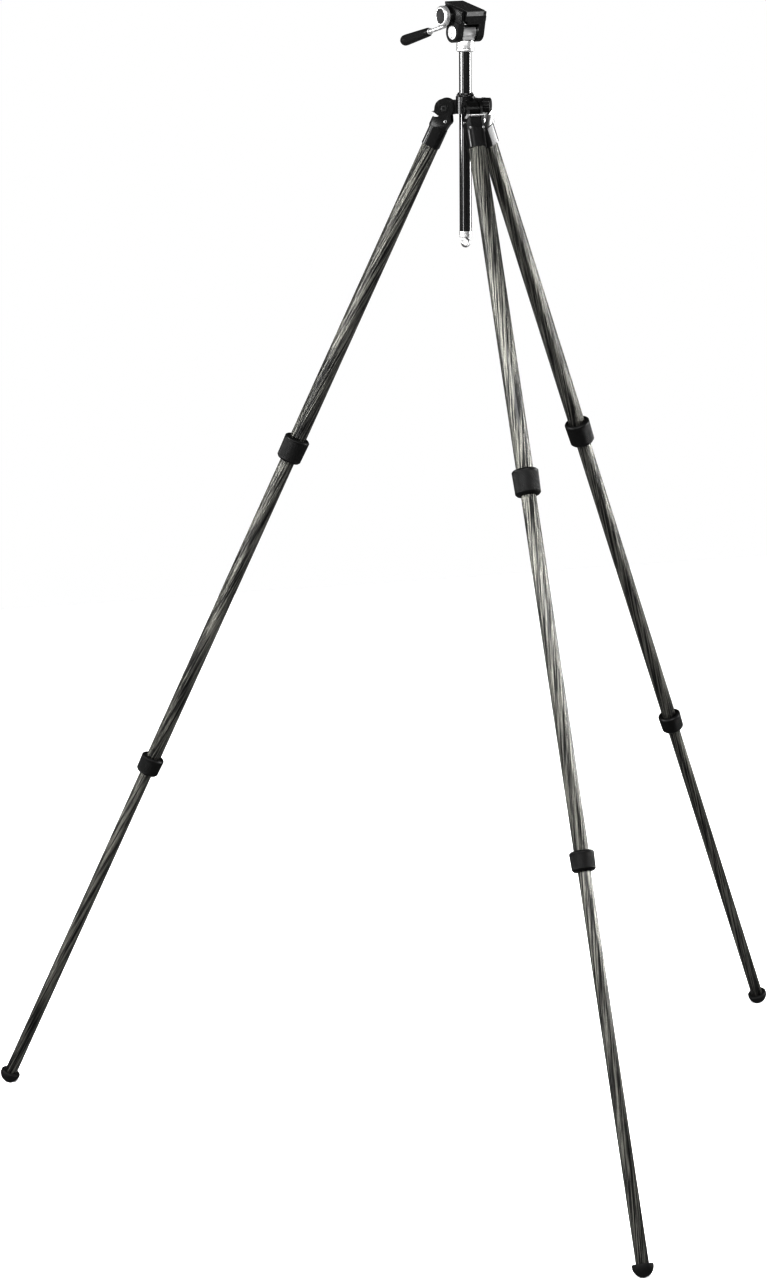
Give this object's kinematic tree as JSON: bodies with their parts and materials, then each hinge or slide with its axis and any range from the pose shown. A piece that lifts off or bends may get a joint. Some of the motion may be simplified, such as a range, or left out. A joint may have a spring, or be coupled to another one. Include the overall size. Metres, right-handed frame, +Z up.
{
  "type": "camera tripod with pan head",
  "caption": "Tripod with twist-lock carbon legs that spread and slide, a sliding centre column with a weight hook, and a two-way pan head with handle and release plate.",
  "frame": {"origin": "middle of the bottom of the whole, on the floor", "axes": "+Z up along the centre column; the front leg points to -Y and the head's front looks between -Y and +X"},
  "size_m": [1.3196, 1.1468, 1.7088],
  "materials": {
    "carbon_tube": "clear-coated carbon fibre, lengthwise tows",
    "black_casting": "black coated die casting, satin gloss",
    "plate_casting": "black anodised, fine grain",
    "gloss_column": "gloss black anodised tube",
    "bright_metal": "satin bright, turned",
    "steel": "plated steel",
    "lock_polymer": "fine diamond knurl, matte",
    "collet_polymer": "smooth acetal",
    "knob_polymer": "fluted, satin",
    "grip_polymer": "lengthwise facets, satin",
    "pad_rubber": "ribbed rubber",
    "foot_rubber": "matte rubber"
  },
  "bodies": {
    "hub": {"hub": "black_casting", "column_bush": "collet_polymer", "column_collar": "black_casting"},
    "front_leg": {"front_leg_bracket": "black_casting", "front_pivot_bolt": "steel", "front_upper_tube": "carbon_tube", "front_upper_lock_bush": "black_casting", "front_upper_lock_collet": "collet_polymer"},
    "front_angle_tab": {"front_angle_tab": "bright_metal"},
    "front_upper_lock": {"front_upper_lock_ring": "lock_polymer"},
    "front_middle": {"front_middle_tube": "carbon_tube", "front_lower_lock_bush": "black_casting", "front_lower_lock_collet": "collet_polymer"},
    "front_lower_lock": {"front_lower_lock_ring": "lock_polymer"},
    "front_lower": {"front_lower_tube": "carbon_tube", "front_foot": "foot_rubber"},
    "right_leg": {"right_leg_bracket": "black_casting", "right_pivot_bolt": "steel", "right_upper_tube": "carbon_tube", "right_upper_lock_bush": "black_casting", "right_upper_lock_collet": "collet_polymer"},
    "right_angle_tab": {"right_angle_tab": "bright_metal"},
    "right_upper_lock": {"right_upper_lock_ring": "lock_polymer"},
    "right_middle": {"right_middle_tube": "carbon_tube", "right_lower_lock_bush": "black_casting", "right_lower_lock_collet": "collet_polymer"},
    "right_lower_lock": {"right_lower_lock_ring": "lock_polymer"},
    "right_lower": {"right_lower_tube": "carbon_tube", "right_foot": "foot_rubber"},
    "left_leg": {"left_leg_bracket": "black_casting", "left_pivot_bolt": "steel", "left_upper_tube": "carbon_tube", "left_upper_lock_bush": "black_casting", "left_upper_lock_collet": "collet_polymer"},
    "left_angle_tab": {"left_angle_tab": "bright_metal"},
    "left_upper_lock": {"left_upper_lock_ring": "lock_polymer"},
    "left_middle": {"left_middle_tube": "carbon_tube", "left_lower_lock_bush": "black_casting", "left_lower_lock_collet": "collet_polymer"},
    "left_lower_lock": {"left_lower_lock_ring": "lock_polymer"},
    "left_lower": {"left_lower_tube": "carbon_tube", "left_foot": "foot_rubber"},
    "column_knob": {"column_knob": "knob_polymer"},
    "column": {"column": "gloss_column", "hook_plug": "bright_metal", "head_base": "bright_metal", "pan_screw": "steel"},
    "weight_hook": {"weight_hook": "bright_metal"},
    "pan_body": {"pan_body": "bright_metal"},
    "tilt_head": {"tilt_fork": "black_casting", "tilt_axle": "steel", "tilt_cap": "bright_metal"},
    "clamp_jaw": {"clamp_jaw": "black_casting"},
    "clamp_knob": {"clamp_knob": "bright_metal", "clamp_screw": "steel"},
    "release_plate": {"release_plate": "plate_casting", "plate_pad": "pad_rubber"},
    "camera_screw": {"camera_screw": "steel"},
    "handle": {"handle_rod": "bright_metal", "handle_grip": "grip_polymer"}
  },
  "joints": [
    {"name": "front_leg_spread", "type": "hinge", "parent": "hub", "child": "front_leg", "pos_m": [0, 0.15607, 1.55337], "axis": [-1, 0, 0], "range_deg": [-25, 57]},
    {"name": "front_angle_tab_pull", "type": "slide", "parent": "front_leg", "child": "front_angle_tab", "axis": [0, -0.9063, 0.4226], "range_m": [0, 0.004], "stiffness_N_per_m": 300, "springref_m": -0.002},
    {"name": "front_upper_lock_twist", "type": "hinge", "parent": "front_leg", "child": "front_upper_lock", "pos_m": [0, -0.08168, 1.03641], "axis": [0, 0.4226, 0.9063], "range_deg": [0, 120]},
    {"name": "front_middle_slide", "type": "slide", "parent": "front_leg", "child": "front_middle", "axis": [0, 0.4226, 0.9063], "range_m": [0, 0.498]},
    {"name": "front_lower_lock_twist", "type": "hinge", "parent": "front_middle", "child": "front_lower_lock", "pos_m": [0, -0.31666, 0.5325], "axis": [0, 0.4226, 0.9063], "range_deg": [0, 120]},
    {"name": "front_lower_slide", "type": "slide", "parent": "front_middle", "child": "front_lower", "axis": [0, 0.4226, 0.9063], "range_m": [0, 0.55]},
    {"name": "right_leg_spread", "type": "hinge", "parent": "hub", "child": "right_leg", "pos_m": [0.02598, 0.20107, 1.55337], "axis": [0.5, -0.866, 0], "range_deg": [-25, 57]},
    {"name": "right_angle_tab_pull", "type": "slide", "parent": "right_leg", "child": "right_angle_tab", "axis": [0.7849, 0.4532, 0.4226], "range_m": [0, 0.004], "stiffness_N_per_m": 300, "springref_m": -0.002},
    {"name": "right_upper_lock_twist", "type": "hinge", "parent": "right_leg", "child": "right_upper_lock", "pos_m": [0.23188, 0.31994, 1.03641], "axis": [-0.366, -0.2113, 0.9063], "range_deg": [0, 120]},
    {"name": "right_middle_slide", "type": "slide", "parent": "right_leg", "child": "right_middle", "axis": [-0.366, -0.2113, 0.9063], "range_m": [0, 0.498]},
    {"name": "right_lower_lock_twist", "type": "hinge", "parent": "right_middle", "child": "right_lower_lock", "pos_m": [0.43537, 0.43743, 0.5325], "axis": [-0.366, -0.2113, 0.9063], "range_deg": [0, 120]},
    {"name": "right_lower_slide", "type": "slide", "parent": "right_middle", "child": "right_lower", "axis": [-0.366, -0.2113, 0.9063], "range_m": [0, 0.55]},
    {"name": "left_leg_spread", "type": "hinge", "parent": "hub", "child": "left_leg", "pos_m": [-0.02598, 0.20107, 1.55337], "axis": [0.5, 0.866, 0], "range_deg": [-25, 57]},
    {"name": "left_angle_tab_pull", "type": "slide", "parent": "left_leg", "child": "left_angle_tab", "axis": [-0.7849, 0.4532, 0.4226], "range_m": [0, 0.004], "stiffness_N_per_m": 300, "springref_m": -0.002},
    {"name": "left_upper_lock_twist", "type": "hinge", "parent": "left_leg", "child": "left_upper_lock", "pos_m": [-0.23188, 0.31994, 1.03641], "axis": [0.366, -0.2113, 0.9063], "range_deg": [0, 120]},
    {"name": "left_middle_slide", "type": "slide", "parent": "left_leg", "child": "left_middle", "axis": [0.366, -0.2113, 0.9063], "range_m": [0, 0.498]},
    {"name": "left_lower_lock_twist", "type": "hinge", "parent": "left_middle", "child": "left_lower_lock", "pos_m": [-0.43537, 0.43743, 0.5325], "axis": [0.366, -0.2113, 0.9063], "range_deg": [0, 120]},
    {"name": "left_lower_slide", "type": "slide", "parent": "left_middle", "child": "left_lower", "axis": [0.366, -0.2113, 0.9063], "range_m": [0, 0.55]},
    {"name": "column_knob_turn", "type": "hinge", "parent": "hub", "child": "column_knob", "pos_m": [0.02771, 0.17007, 1.55787], "axis": [0.866, -0.5, 0], "range_deg": [0, 360]},
    {"name": "column_slide", "type": "slide", "parent": "hub", "child": "column", "axis": [0, 0, 1], "range_m": [-0.057, 0.15]},
    {"name": "weight_hook_swivel", "type": "hinge", "parent": "column", "child": "weight_hook", "pos_m": [0, 0.18607, 1.36337], "axis": [0, 0, 1], "continuous": true},
    {"name": "pan", "type": "hinge", "parent": "column", "child": "pan_body", "pos_m": [0, 0.18607, 1.66437], "axis": [0, 0, 1], "continuous": true},
    {"name": "tilt", "type": "hinge", "parent": "pan_body", "child": "tilt_head", "pos_m": [0, 0.18607, 1.66437], "axis": [0.9608, 0.2773, 0], "range_deg": [-41, 78]},
    {"name": "handle_twist", "type": "hinge", "parent": "tilt_head", "child": "handle", "pos_m": [-0.00694, 0.2101, 1.67721], "axis": [-0.2692, 0.9326, -0.2402], "range_deg": [0, 180]},
    {"name": "clamp_jaw_slide", "type": "slide", "parent": "tilt_head", "child": "clamp_jaw", "axis": [-0.9608, -0.2773, 0], "range_m": [0, 0.0025]},
    {"name": "clamp_knob_turn", "type": "hinge", "parent": "clamp_jaw", "child": "clamp_knob", "pos_m": [-0.00302, 0.19652, 1.68827], "axis": [-0.9608, -0.2773, 0], "range_deg": [0, 900]},
    {"name": "release_plate_slide", "type": "slide", "parent": "tilt_head", "child": "release_plate", "axis": [0.2716, -0.9408, -0.2028], "range_m": [-0.01, 0.05]},
    {"name": "camera_screw_rise", "type": "slide", "parent": "release_plate", "child": "camera_screw", "axis": [0.0562, -0.1948, 0.9792], "range_m": [0, 0.0035]}
  ],
  "couplings": [
    {"joint": "clamp_knob_turn", "follows": "clamp_jaw_slide", "rad_per_m": 6283.2}
  ]
}
